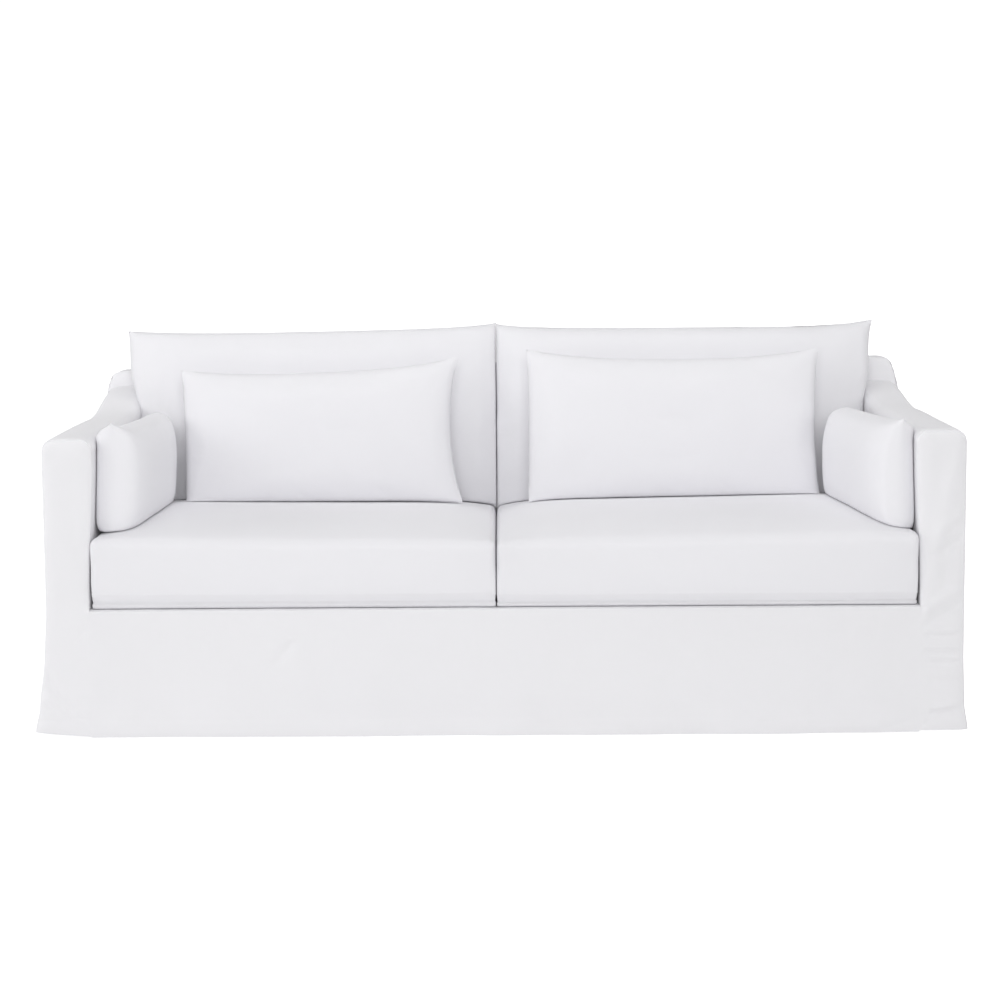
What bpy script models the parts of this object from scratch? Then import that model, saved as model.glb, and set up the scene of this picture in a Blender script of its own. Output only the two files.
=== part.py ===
"""A loose linen cover for a sofa, with the filled cushions of the same set, as separate closed solids.

Metres, +Z up. X runs across the sofa, -Y is the front and z = 0 is the floor.
The cover is hollow, and the sofa that it dresses would stand inside it.
"""
import math

import bmesh
import bpy
from mathutils import Matrix, Vector
from mathutils.bvhtree import BVHTree

CLOTH = 0.002          # thickness of the linen
GAP = 0.0003           # between two pieces at a seam
REST_GAP = 0.0005      # between a cushion and what it rests on
PRESS = 0.0035         # how far a cushion's side is pressed clear of its neighbour before it is seated

FRONT_Y = -0.500       # plane of the arm fronts and the apron
BACK_Y = 0.500         # plane of the outside back
DECK_Z = 0.299         # top of the cloth under the seat cushions
ROLL = 0.010           # how far the border of an upright panel turns back
ROLL_WIDTH = 0.022     # width of the border that turns
TURN_RADIUS = 0.008    # where the apron turns over onto the deck
TURN_LENGTH = 0.022    # from the apron's face to the seam with the deck
ARM_CORNER = 0.022     # radius along the two edges of an arm's top
BACK_CORNER = 0.034    # radius at the two ends of the back's top
ARM_SEAM_DROP = 0.034  # from an arm's top down to the seam with its side panels
BACK_SEAM_DROP = 0.044 # from the back's top down to the seam with an outside panel
ARM_SWOOP = (0.07, 0.58)   # the arm's top starts to climb and levels off again at these y
ARM_END_Y = 0.37       # where the arm's top meets the inside back
ARM_DIP = (0.014, 0.050)   # how far an arm's top dips at its front, and over what length
ARM_CREST = 0.002      # how far the middle of an arm's top stands above its edges
FACING_WIDTH = 0.110   # width of an arm's facing
FACING_HEAD = 0.012    # how far a facing reaches above the dip of the arm's top
HEM_BAND = 0.064       # height of the turned-up hem, which stands out from the cloth above
BACK_FOOT_Y = 0.245    # inside back where it meets the deck
BACK_LEAN = 0.2367     # how far the inside back runs back for each metre of height
BACK_HALF = 1.060      # half the width of the back
EAR_START = 0.030      # the inside back widens over the arms within this height
HEM_OUT = 1.080        # how far out the hem's outer corners stand
SLANT = 0.0018         # an arm's top stops this far short of the slanting inside back
ARM_START_Y = FRONT_Y + ROLL + CLOTH + GAP

# how far out the hanging cloth stands at each height, from the middle of the sofa
DROP = (
    # height, left, right, front, back
    (0.000, 1.090, 1.086, 0.507, 0.508),
    (0.064, 1.079, 1.078, 0.503, 0.504),
    (0.180, 1.067, 1.0745, 0.501, 0.501),
    (0.300, 1.061, 1.074, 0.500, 0.500),
    (0.720, 1.060, 1.073, 0.500, 0.500),
    (0.820, 1.047, 1.055, 0.500, 0.500),
)
# what differs between the two arms
ARMS = {
    # sign, top at front and back, rise before the climb, inner face at deck and top, back's top, hem
    "left": {"sign": -1, "front": 0.699, "rear": 0.768, "rise": 0.002, "deck": 0.959, "top": 0.944,
             "back_top": 0.798, "hem_outer": 0.011, "hem_inner": 0.003},
    "right": {"sign": 1, "front": 0.709, "rear": 0.770, "rise": 0.009, "deck": 0.971, "top": 0.957,
              "back_top": 0.819, "hem_outer": 0.007, "hem_inner": 0.006},
}
SEATS = {
    # span in x, height of the boxed edge, crown above it
    "left": {"x": (-0.950, -0.0180), "edge": 0.152, "crown": 0.043},
    "right": {"x": (-0.0090, 0.962), "edge": 0.154, "crown": 0.051},
}
SEAT_FRONT_Y = -0.506
SEAT_DEPTH = 0.744
SEAT_EDGE = Vector((0.018, 0.034, 0.026))   # how far its rounded edges reach in along each axis
SEAT_BULGE = (0.004, 0.008)   # how far its sides and its front and rear swell out
BACKS = {
    # middle of the edge outline, its size, and its turn in the plane of the back in degrees
    "left": {"x": -0.4765, "z": 0.699, "width": 0.928, "height": 0.470, "turn": -0.9},
    "right": {"x": 0.4720, "z": 0.712, "width": 0.948, "height": 0.480, "turn": 0.0},
}
BACK_EDGE_OUT = 0.112      # from the inside back to the plane of a back cushion's edges
BACK_CROWNS = (0.105, 0.125)    # how far its front and its rear bulge
BACK_FLARE = 0.034         # how far a back cushion's outer upper corner stands out over the arm
BACK_FLARE_Z = (0.745, 0.085)   # height where that starts, and over what height it grows
BACK_PULL = (0.012, 0.075)      # how far its sides and its top and bottom are drawn in between corners
BACK_CELLS = (16, 10)
LUMBARS = {
    "left": {"x": -0.4565, "z": 0.6680, "width": 0.712, "height": 0.352, "turn": -1.9, "y": 0.030},
    "right": {"x": 0.4385, "z": 0.6790, "width": 0.742, "height": 0.376, "turn": 0.0, "y": 0.030},
}
LUMBAR_CROWN = 0.075
LUMBAR_LEAN = 13.0         # degrees back from upright
LUMBAR_PULL = (0.03, 0.10)
LUMBAR_POWER = 2.2         # a larger power is a blunter pillow
SIDES = {
    # place of the middle, size along the arm and upward, lean of its top against the arm in degrees
    "left": {"y": -0.190, "z": 0.597, "length": 0.530, "height": 0.270, "lean": 0.3},
    "right": {"y": -0.195, "z": 0.604, "length": 0.560, "height": 0.286, "lean": -1.0},
}
SIDE_CROWN = 0.074
SIDE_SQUASH = 0.020        # how much of a side pillow is pressed flat against the arm
SIDE_POWER = 6.0
SIDE_CORNER = 0.035        # how far its corners are rounded off
PILLOW_POWER = 2.4
PILLOW_CELLS = (14, 8)

# soft waves of the hanging cloth: each row adds one wave along a panel
WAVES = (
    # wave length, height, start of the wave in radians
    (0.520, 0.0018, 0.4),
    (0.310, 0.0012, 1.9),
    (0.170, 0.0007, 0.9),
)
LINEN = (0.86, 0.86, 0.87, 1.0)


# ---- the cover's faces as functions of place ----
def blend(x):
    x = min(1.0, max(0.0, x))
    return x * x * (3 - 2 * x)


def mix(a, b, t):
    return a + (b - a) * t


def drop(z, column):
    """One column of DROP at height z."""
    for low, high in zip(DROP, DROP[1:]):
        if z <= high[0]:
            break
    t = (z - low[0]) / (high[0] - low[0])
    return mix(low[column], high[column], min(1.0, t))


def wave(along, z):
    """Depth of the hanging cloth's soft waves, which die out towards the deck."""
    fall = 1 - blend(z / DECK_Z)
    swell = [height * math.sin(math.tau * along / length + start) for length, height, start in WAVES]
    return fall * sum(swell)


def front_y(x, z):
    return -drop(z, 3) - wave(x, z)


def rear_y(x, z):
    return drop(z, 4) + wave(x + 0.7, z)


def outer_x(arm, y, z):
    return arm["sign"] * (drop(z, 1 if arm["sign"] < 0 else 2) + wave(y + arm["sign"], z))


def inner_x(arm, z):
    t = (z - DECK_Z) / (arm["front"] - DECK_Z)
    return arm["sign"] * mix(arm["deck"], arm["top"], blend(t))


def inside_back_y(z):
    return BACK_FOOT_Y + (z - DECK_Z) * BACK_LEAN


def arm_top_z(arm, y):
    """The arm's top is nearly level, then climbs to the back in one S-curve."""
    start, length = ARM_SWOOP[0], ARM_SWOOP[1] - ARM_SWOOP[0]
    level = arm["front"] + arm["rise"] * blend((y - FRONT_Y) / 0.5)
    dip = -ARM_DIP[0] * blend((FRONT_Y + ARM_DIP[1] - y) / ARM_DIP[1])
    climb = blend((y - start) / length) / blend((ARM_END_Y - start) / length)
    return level + dip + climb * (arm["rear"] - arm["front"] - arm["rise"])


def arm_line(arm, t, down, short=GAP):
    """A point (y, z) of the line at `down` below the arm's top, from its front to the inside back."""
    y = mix(FRONT_Y, BACK_FOOT_Y, t)
    for _ in range(12):
        z = arm_top_z(arm, y) - down
        y = mix(ARM_START_Y, inside_back_y(z) - short, t)
    return y, z


def back_top_z(x):
    left, right = ARMS["left"], ARMS["right"]
    return mix(left["back_top"], right["back_top"], (x / BACK_HALF + 1) / 2)


def corner_cut(radius, distance):
    """How far a rounded corner lies below the square one at this distance from the side."""
    inward = max(0.0, radius - distance)
    return radius - math.sqrt(max(0.0, radius ** 2 - inward ** 2))


# ---- building blocks ----
def ramp(count, ends=0):
    """Fractions from 0 to 1; with ends they crowd towards both ends."""
    steps = [i / count for i in range(count + 1)]
    return [mix(t, 0.5 - 0.5 * math.cos(math.pi * t), ends) for t in steps]


def bordered(border, count):
    """Fractions from 0 to 1 with given ones at both borders and count equal steps between these."""
    middle = [mix(border[-1], 1 - border[-1], t) for t in ramp(count)[1:-1]]
    return [*border, *middle, *(1 - b for b in reversed(border))]


def material(name, color):
    finish = bpy.data.materials.new(name)
    finish.use_nodes = True
    shader = finish.node_tree.nodes["Principled BSDF"]
    shader.inputs["Base Color"].default_value = color
    shader.inputs["Roughness"].default_value = 0.9
    shader.inputs["Metallic"].default_value = 0.0
    return finish


def add_object(name, bm, shade=1.0):
    mesh = bpy.data.meshes.new(name)
    bm.to_mesh(mesh)
    bm.free()
    piece = bpy.data.objects.new(name, mesh)
    bpy.context.collection.objects.link(piece)
    color = [channel * shade for channel in LINEN[:3]] + [1.0]
    mesh.materials.append(material(name + "_linen", color))
    mesh.shade_smooth()
    mesh.set_sharp_from_angle(angle=math.radians(40))
    return piece


def grid_mesh(us, vs, place):
    """A bmesh grid whose point (u, v) is moved to place(u, v)."""
    bm = bmesh.new()
    columns, rows = len(us) - 1, len(vs) - 1
    bmesh.ops.create_grid(bm, x_segments=columns, y_segments=rows, size=0.5)
    for vertex in bm.verts:
        i = round((vertex.co.x + 0.5) * columns)
        j = round((vertex.co.y + 0.5) * rows)
        vertex.co = place(us[i], vs[j])
    return bm


def sheet(name, us, vs, place, facing, shade=1.0):
    """A panel of cloth: its face is the grid, and its thickness lies behind that face."""
    bm = grid_mesh(us, vs, place)
    bm.normal_update()
    lean = sum((face.normal * face.calc_area() for face in bm.faces), Vector())
    if lean.dot(Vector(facing)) < 0:
        bmesh.ops.reverse_faces(bm, faces=bm.faces)
    piece = add_object(name, bm, shade)
    solid = piece.modifiers.new("cloth", "SOLIDIFY")
    solid.thickness = CLOTH
    solid.offset = -1
    solid.use_even_offset = True
    return piece


def arc(radius, steps):
    """A quarter turn from upright to level, as (inward, down) from the corner."""
    turn = [math.pi / 2 * i / steps for i in range(steps + 1)]
    return [(radius * (1 - math.cos(a)), radius * (1 - math.sin(a))) for a in turn]


def roll_back(distance):
    """How far a panel's border has turned back at this distance from its edge."""
    e = min(1.0, max(0.0, 1 - distance / ROLL_WIDTH))
    return ROLL * (1 - math.sqrt(1 - e * e))


# ---- the cover ----
def hanging_rows():
    """Heights of the rows below the deck as fractions of the fall, with one at the top of the hem."""
    band = HEM_BAND / DECK_Z
    return [0.0, band * 0.5, band, 0.42, 0.64, 0.84]


def hem_z(arm, x):
    inner, outer = arm["deck"], HEM_OUT
    return mix(arm["hem_inner"], arm["hem_outer"], min(1.0, max(0.0, (abs(x) - inner) / (outer - inner))))


def arm_front(side, arm):
    """The facing of an arm, from the floor to the arm's top, with its upper corners rounded."""
    upper = [1.0 + t for t in ramp(7, 0.6)[1:]]
    rows = hanging_rows() + [1.0] + upper
    border = ROLL_WIDTH / FACING_WIDTH
    columns = [0.0, border * 0.35, border, 0.5, 1 - border, 1 - border * 0.35, 1.0]

    def place(u, v):
        top = arm_top_z(arm, FRONT_Y) + FACING_HEAD
        z = v * DECK_Z if v <= 1 else mix(DECK_Z, top, v - 1)
        outer, inner = outer_x(arm, FRONT_Y, z), inner_x(arm, max(z, DECK_Z))
        x = mix(inner, outer, u)
        near = min(abs(x - outer), abs(x - inner))
        if v > 1:
            z -= corner_cut(ARM_CORNER, near) * blend((v - 1.0) ** 2)
        else:
            z += hem_z(arm, x) * (1 - v)
        back = roll_back(abs(x - outer))
        if z > DECK_Z:
            back = max(back, roll_back(abs(x - inner)) * blend((z - DECK_Z) / 0.03))
            back = max(back, roll_back(top - z - 0.004))
        return Vector((x, front_y(x, z) + back, z))

    return sheet(f"{side}_arm_front", columns, rows, place, (0, -1, 0))


def arm_section(arm):
    """Points across an arm's top, as (fraction from the outer to the inner face, inward, down)."""
    turn = arc(ARM_CORNER, 3)
    outer = [(0, 0.0, ARM_SEAM_DROP)] + [(0, inward, down) for inward, down in turn]
    inner = [(1, inward, down) for inward, down in reversed(turn)] + [(1, 0.0, ARM_SEAM_DROP)]
    return outer + [(0.5, 0.0, -ARM_CREST)] + inner


def arm_steps():
    return [0.0, 0.04, 0.12, 0.24, 0.37, 0.50, 0.60, 0.68, 0.74, 0.80, 0.86, 0.91, 0.96, 1.0]


def arm_top(side, arm):
    section = arm_section(arm)

    def place(t, k):
        across, inward, down = section[k]
        y, z = arm_line(arm, t, down, SLANT)
        outer, inner = outer_x(arm, y, z), inner_x(arm, z)
        x = mix(outer, inner, across)
        if across != 0.5:
            x += (inner - outer) / abs(inner - outer) * inward * (1 if across == 0 else -1)
        return Vector((x, y, z))

    return sheet(f"{side}_arm_top", arm_steps(), range(len(section)), place, (0, 0, 1))


def arm_inside(side, arm):
    bottom = DECK_Z - CLOTH

    def place(t, v):
        z = mix(bottom, arm_line(arm, t, ARM_SEAM_DROP + 2 * GAP)[1], v)
        y = mix(ARM_START_Y, inside_back_y(z) - GAP, t)
        return Vector((inner_x(arm, z), y, z))

    return sheet(f"{side}_arm_inside", arm_steps(), ramp(4), place, (-arm["sign"], 0, 0), 0.96)


def arm_outside(side, arm):
    """The outside of an arm with the end of the back, down to the hem."""
    steps = arm_steps() + [1.12, 1.5, 2.0]
    rows = hanging_rows() + [1.0] + [1.0 + t for t in ramp(4)[1:]]

    def place(t, v):
        if t <= 1:
            top = arm_line(arm, t, ARM_SEAM_DROP + 2 * GAP)[1]
        else:
            top = back_top_z(arm["sign"] * BACK_HALF) - BACK_SEAM_DROP - GAP
        if v <= 1:
            z = v * DECK_Z + hem_z(arm, HEM_OUT) * (1 - v)
        else:
            z = mix(DECK_Z, top, v - 1)
        start = front_y(outer_x(arm, FRONT_Y, z), z) + ROLL + CLOTH + 2 * GAP
        end = rear_y(outer_x(arm, BACK_Y, z), z) - ROLL - CLOTH - 2 * GAP
        if t <= 1:
            y = mix(start, inside_back_y(z) - GAP, t)
        else:
            y = mix(inside_back_y(z), end, t - 1)
        return Vector((outer_x(arm, y, z), y, z))

    return sheet(f"{side}_arm_outside", steps, rows, place, (arm["sign"], 0, 0), 0.97)


def front_apron():
    """The front skirt, from the deck's front edge down to the hem."""
    left, right = ARMS["left"], ARMS["right"]
    turn = arc(TURN_RADIUS, 2) + [(TURN_LENGTH, 0.0)]
    rows = hanging_rows() + [1 + step for step in range(len(turn))]

    def place(u, v):
        inward, down = turn[max(0, v - 1)] if v >= 1 else (0.0, TURN_RADIUS)
        z = min(v, 1) * (DECK_Z - TURN_RADIUS) + TURN_RADIUS - down
        edge_left = inner_x(left, DECK_Z) + GAP
        edge_right = inner_x(right, DECK_Z) - GAP
        x = mix(edge_left, edge_right, u)
        z += mix(left["hem_inner"], right["hem_inner"], u) * 0.5 * max(0.0, 1 - v) * (abs(2 * u - 1) ** 4)
        return Vector((x, front_y(x, z) + inward, z))

    return sheet("front_apron", ramp(26), rows, place, (0, -1, 0))


def seat_deck():
    def place(u, v):
        z = DECK_Z
        left = inner_x(ARMS["left"], z) + GAP
        right = inner_x(ARMS["right"], z) - GAP
        y = mix(FRONT_Y + TURN_LENGTH + 2 * GAP, inside_back_y(z - CLOTH) - 2 * GAP, v)
        return Vector((mix(left, right, u), y, z))

    return sheet("seat_deck", ramp(6), ramp(4), place, (0, 0, 1), 0.9)


def inside_back():
    """The inside back: between the arms below, and over their full width above them."""
    left, right = ARMS["left"], ARMS["right"]
    rows = [0.0, 0.3, 0.6, 0.78, 0.86, 0.92, 0.96, 0.985, 1.0]
    columns = bordered((0.0, 0.005, 0.015, 0.06), 8)

    def edge(arm, z):
        arm_z = arm["rear"] - ARM_SEAM_DROP
        wide = abs(outer_x(arm, 0, z)) - CLOTH - GAP
        narrow = abs(inner_x(arm, z)) + CLOTH
        return arm["sign"] * mix(narrow, wide, blend((z - arm_z + EAR_START) / EAR_START))

    def place(u, v):
        top = back_top_z(mix(-BACK_HALF, BACK_HALF, u))
        z = mix(DECK_Z - CLOTH, top, v)
        x = mix(edge(left, z), edge(right, z), u)
        back = roll_back(top - z)
        near = min(x - edge(left, top), edge(right, top) - x)
        z -= corner_cut(BACK_CORNER, near) * blend(2 * v - 1) ** 6
        return Vector((x, inside_back_y(z) + back, z))

    return sheet("inside_back", columns, rows, place, (0, -1, 0), 0.95)


def outside_back():
    left, right = ARMS["left"], ARMS["right"]
    rows = hanging_rows() + [1.0] + [1.0 + t for t in (0.25, 0.5, 0.75, 0.90, 0.955, 0.99, 1.0)]
    columns = bordered((0.0, 0.004, 0.0104, 0.018), 18)

    def place(u, v):
        top = back_top_z(mix(-BACK_HALF, BACK_HALF, u))
        z = v * DECK_Z if v <= 1 else mix(DECK_Z, top, v - 1)
        x_left, x_right = outer_x(left, BACK_Y, z), outer_x(right, BACK_Y, z)
        x = mix(x_left, x_right, u)
        near = min(x - x_left, x_right - x)
        if v > 1:
            z -= corner_cut(BACK_CORNER, near) * blend((v - 1.0) ** 2)
        back = max(roll_back(near), roll_back(top - z) if v > 1 else 0.0)
        return Vector((x, rear_y(x, z) - back, z))

    return sheet("outside_back", columns, rows, place, (0, 1, 0), 0.97)


def back_top_strip():
    """The strip along the top of the back, turned down over both of its ends."""
    ends = [(0.0, BACK_SEAM_DROP)] + arc(BACK_CORNER, 3)
    middle = [(None, t) for t in ramp(8)[1:-1]]
    section = [("left", *p) for p in ends] + middle + [("right", *p) for p in reversed(ends)]
    flat_end = BACK_HALF - BACK_CORNER

    def place(k, v):
        if section[k][0] is None:
            x = mix(-flat_end, flat_end, section[k][1])
            z = back_top_z(x)
        else:
            side, inward, down = section[k]
            arm = ARMS[side]
            z = back_top_z(arm["sign"] * BACK_HALF) - down
            x = outer_x(arm, 0.4, z) - arm["sign"] * inward
        front = inside_back_y(back_top_z(x)) + ROLL + CLOTH + GAP
        return Vector((x, mix(front, BACK_Y - ROLL - CLOTH - GAP, v), z))

    return sheet("back_top_strip", range(len(section)), ramp(3), place, (0, 0, 1))


# ---- filled cushions ----
def surface(pieces):
    """Ray tests against the finished outer faces of some pieces."""
    scene_graph = bpy.context.evaluated_depsgraph_get()
    scene_graph.update()
    trees = []
    for piece in pieces:
        bm = bmesh.new()
        bm.from_object(piece, scene_graph)
        bmesh.ops.transform(bm, matrix=piece.matrix_world, verts=bm.verts)
        trees.append(BVHTree.FromBMesh(bm))
        bm.free()
    return trees


def nearest_hit(trees, origin, direction, reach):
    hits = [tree.ray_cast(origin, direction, reach) for tree in trees]
    found = [hit for hit in hits if hit[0] is not None]
    return min(found, key=lambda hit: hit[3]) if found else None


def press(piece, neighbours, direction):
    """Push back each point that would reach into a neighbour along the direction."""
    direction = Vector(direction).normalized()
    trees = surface(neighbours)
    reach = 0.30
    for vertex in piece.data.vertices:
        hit = nearest_hit(trees, vertex.co - direction * reach, direction, reach + PRESS)
        if hit:
            vertex.co = hit[0] - direction * PRESS


def probes(piece):
    """Points all over a piece's mesh: its corners and four places along each edge."""
    corners = [vertex.co for vertex in piece.data.vertices]
    for edge in piece.data.edges:
        a, b = (corners[i] for i in edge.vertices)
        corners += [a.lerp(b, t) for t in (0.2, 0.4, 0.6, 0.8)]
    return corners


def seat_against(piece, neighbours, direction):
    """Move a cushion along the direction until it is the resting gap away from its neighbours."""
    direction = Vector(direction).normalized()
    reach = 0.10
    theirs, own = surface(neighbours), surface([piece])
    tests = [(point, direction, theirs) for point in probes(piece)]
    tests += [(point, -direction, own) for neighbour in neighbours for point in probes(neighbour)]
    hits = [nearest_hit(trees, point, way, reach) for point, way, trees in tests]
    travel = min((hit[3] for hit in hits if hit), default=REST_GAP)
    piece.data.transform(Matrix.Translation(direction * (travel - REST_GAP)))


def settle(piece, below, behind, back):
    """Press and seat a cushion on what carries it, then against what it leans on."""
    for neighbours, direction in ((below, (0, 0, -1)), (behind, back)):
        press(piece, neighbours, direction)
        seat_against(piece, neighbours, direction)


def seat_cushion(side, seat):
    """A boxed cushion: upright sides, a crowned top and rounded edges."""
    bm = bmesh.new()
    bmesh.ops.create_cube(bm, size=2)
    for axis, cuts in ((0, 13), (1, 11), (2, 4)):
        along = [e for e in bm.edges if abs((e.verts[0].co - e.verts[1].co).normalized()[axis]) > 0.99]
        bmesh.ops.subdivide_edges(bm, edges=along, cuts=cuts, use_grid_fill=True)
    x0, x1 = seat["x"]
    half = Vector(((x1 - x0) / 2, SEAT_DEPTH / 2, seat["edge"] / 2))
    middle = Vector(((x0 + x1) / 2, SEAT_FRONT_Y + SEAT_DEPTH / 2, DECK_Z + REST_GAP + half.z))
    for vertex in bm.verts:
        u, v, w = (math.sin(math.pi / 2 * c) * 0.6 + c * 0.4 for c in vertex.co)
        full = Vector((u * half.x, v * half.y, w * half.z))
        core = Vector([min(h - r, max(r - h, c)) for c, h, r in zip(full, half, SEAT_EDGE)])
        out = Vector([(f - c) / r for f, c, r in zip(full, core, SEAT_EDGE)])
        out = out.normalized() * max(abs(c) for c in out)
        point = core + Vector([c * r for c, r in zip(out, SEAT_EDGE)])
        fullness = (1 - abs(u) ** 4) * (1 - abs(v) ** 3)
        if w > 0:
            point.z += seat["crown"] * fullness * w
        point.x += math.copysign(SEAT_BULGE[0], u) * abs(u) ** 4 * (1 - w * w) * (1 - v * v)
        point.y += math.copysign(SEAT_BULGE[1], v) * abs(v) ** 4 * (1 - w * w) * (1 - u * u)
        vertex.co = point + middle
    return add_object(f"{side}_seat_cushion", bm, 0.98)


def pillow_mesh(width, height, crowns, pull=(0, 0), cells=PILLOW_CELLS, power=PILLOW_POWER, corner=0.0):
    """A knife-edged pillow in its own XZ plane: its front crown towards -Y and its rear crown towards +Y.

    Its sides are drawn in by pull between the corners, and corner rounds these off."""
    front, rear = crowns
    spread_u = [math.sin(math.pi / 2 * (2 * t - 1)) for t in ramp(cells[0])]
    spread_v = [math.sin(math.pi / 2 * (2 * t - 1)) for t in ramp(cells[1])]

    def face(crown):
        def place(u, v):
            x = width / 2 * u * (1 - pull[0] * (1 - v * v) - corner * v ** 6)
            z = height / 2 * v * (1 - pull[1] * (1 - u * u) - 2 * corner * u ** 10)
            fullness = max(0.0, (1 - abs(u) ** power) * (1 - abs(v) ** power)) ** 0.62
            return Vector((x, crown * fullness, z))
        return grid_mesh(spread_u, spread_v, place)

    bm = face(-front)
    mesh = bpy.data.meshes.new("rear")
    other = face(rear)
    bmesh.ops.reverse_faces(other, faces=other.faces)
    other.to_mesh(mesh)
    other.free()
    bm.from_mesh(mesh)
    bpy.data.meshes.remove(mesh)
    bmesh.ops.remove_doubles(bm, verts=bm.verts, dist=0.00005)
    bmesh.ops.recalc_face_normals(bm, faces=bm.faces)
    if bm.calc_volume(signed=True) < 0:
        bmesh.ops.reverse_faces(bm, faces=bm.faces)
    return bm


def back_cushion(side, cushion, seats, inside):
    """A knife-edged cushion that stands on the seat and lies flat against the inside back."""
    bm = pillow_mesh(cushion["width"], cushion["height"], BACK_CROWNS, BACK_PULL, BACK_CELLS)
    lean = math.atan(BACK_LEAN)
    turn = Matrix.Rotation(-lean, 4, "X") @ Matrix.Rotation(math.radians(cushion["turn"]), 4, "Y")
    out = Vector((0, -math.cos(lean), math.sin(lean))) * BACK_EDGE_OUT
    middle = Vector((cushion["x"], inside_back_y(cushion["z"]), cushion["z"])) + out
    bmesh.ops.transform(bm, matrix=Matrix.Translation(middle) @ turn, verts=bm.verts)
    sign = math.copysign(1, cushion["x"])
    for vertex in bm.verts:
        reach = max(0.0, (vertex.co.x - cushion["x"]) * sign / (cushion["width"] / 2))
        above = blend((vertex.co.z - BACK_FLARE_Z[0]) / BACK_FLARE_Z[1])
        vertex.co.x += sign * BACK_FLARE * reach ** 4 * above
    piece = add_object(f"{side}_back_cushion", bm, 1.0)
    settle(piece, seats, [inside], (0, 1, 0))
    return piece


def lumbar_pillow(side, pillow, carriers, behind):
    crowns = (LUMBAR_CROWN, LUMBAR_CROWN)
    bm = pillow_mesh(pillow["width"], pillow["height"], crowns, LUMBAR_PULL, power=LUMBAR_POWER)
    lean = Matrix.Rotation(-math.radians(LUMBAR_LEAN), 4, "X")
    turn = lean @ Matrix.Rotation(math.radians(pillow["turn"]), 4, "Y")
    middle = Vector((pillow["x"], pillow["y"], pillow["z"]))
    bmesh.ops.transform(bm, matrix=Matrix.Translation(middle) @ turn, verts=bm.verts)
    piece = add_object(f"{side}_lumbar_pillow", bm, 0.97)
    settle(piece, carriers, behind, (0, 1, 0))
    return piece


def side_pillow(side, pillow, carriers, arm_panels, sign):
    crowns = (SIDE_CROWN, SIDE_CROWN)
    bm = pillow_mesh(pillow["length"], pillow["height"], crowns, power=SIDE_POWER, corner=SIDE_CORNER)
    turn = Matrix.Rotation(math.pi / 2, 4, "Z")
    lean = Matrix.Rotation(math.radians(sign * pillow["lean"]), 4, "Y")
    x = sign * (ARMS["left"]["top"] - SIDE_CROWN + SIDE_SQUASH)
    middle = Vector((x, pillow["y"], pillow["z"]))
    bmesh.ops.transform(bm, matrix=Matrix.Translation(middle) @ lean @ turn, verts=bm.verts)
    piece = add_object(f"{side}_side_pillow", bm, 0.97)
    settle(piece, carriers, arm_panels, (sign, 0, 0))
    return piece


def main():
    for old in list(bpy.data.objects):
        bpy.data.objects.remove(old, do_unlink=True)
    arm_panels = {}
    for side, arm in ARMS.items():
        arm_front(side, arm)
        arm_panels[side] = [arm_top(side, arm), arm_inside(side, arm)]
        arm_outside(side, arm)
    front_apron()
    seat_deck()
    inside = inside_back()
    outside_back()
    back_top_strip()
    seats = {side: seat_cushion(side, seat) for side, seat in SEATS.items()}
    backs = {side: back_cushion(side, BACKS[side], [seats[side]], inside) for side in SEATS}
    for side, arm in ARMS.items():
        lumbar_pillow(side, LUMBARS[side], [seats[side]], [backs[side]])
        side_pillow(side, SIDES[side], [seats[side]], arm_panels[side], arm["sign"])


main()
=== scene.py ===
import math

import bmesh
import bpy
from mathutils import Matrix, Vector, noise
from mathutils.bvhtree import BVHTree


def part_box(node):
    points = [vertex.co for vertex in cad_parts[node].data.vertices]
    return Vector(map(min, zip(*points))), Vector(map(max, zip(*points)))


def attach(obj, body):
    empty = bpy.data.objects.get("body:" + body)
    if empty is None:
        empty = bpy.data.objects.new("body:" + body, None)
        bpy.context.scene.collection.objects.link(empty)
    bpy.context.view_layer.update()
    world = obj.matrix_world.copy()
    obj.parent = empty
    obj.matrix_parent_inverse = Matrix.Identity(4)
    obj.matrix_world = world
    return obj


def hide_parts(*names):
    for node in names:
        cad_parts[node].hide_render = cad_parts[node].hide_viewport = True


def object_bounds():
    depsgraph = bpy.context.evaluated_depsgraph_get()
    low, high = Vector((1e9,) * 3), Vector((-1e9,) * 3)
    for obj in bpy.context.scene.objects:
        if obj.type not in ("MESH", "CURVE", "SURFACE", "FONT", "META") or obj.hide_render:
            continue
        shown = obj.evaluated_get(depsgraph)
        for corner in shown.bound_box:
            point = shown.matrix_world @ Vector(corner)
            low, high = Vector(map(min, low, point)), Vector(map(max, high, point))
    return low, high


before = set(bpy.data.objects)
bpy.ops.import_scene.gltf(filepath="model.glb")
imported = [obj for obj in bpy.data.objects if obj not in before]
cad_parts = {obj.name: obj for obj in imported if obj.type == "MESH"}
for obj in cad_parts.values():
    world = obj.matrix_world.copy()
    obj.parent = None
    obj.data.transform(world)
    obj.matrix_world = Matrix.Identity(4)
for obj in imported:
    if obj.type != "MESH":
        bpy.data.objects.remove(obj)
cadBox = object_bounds()
print("frame loaded")


def smooth(x):
    x = min(1.0, max(0.0, x))
    return x * x * (3 - 2 * x)


def mix(a, b, t):
    return a + (b - a) * t


def steps(length, cell, crowd=0.0):
    # fractions from 0 to 1 about a cell apart, closer together at both ends with crowd
    count = max(2, round(length / cell))
    even = [i / count for i in range(count + 1)]
    return [mix(t, 0.5 - 0.5 * math.cos(math.pi * t), crowd) for t in even]


def ripple(along, size, seed):
    # soft uneven wave along a line, between about -1 and 1
    return 1.6 * noise.noise(Vector((along / size, seed * 7.3, seed * 3.1)))


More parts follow.
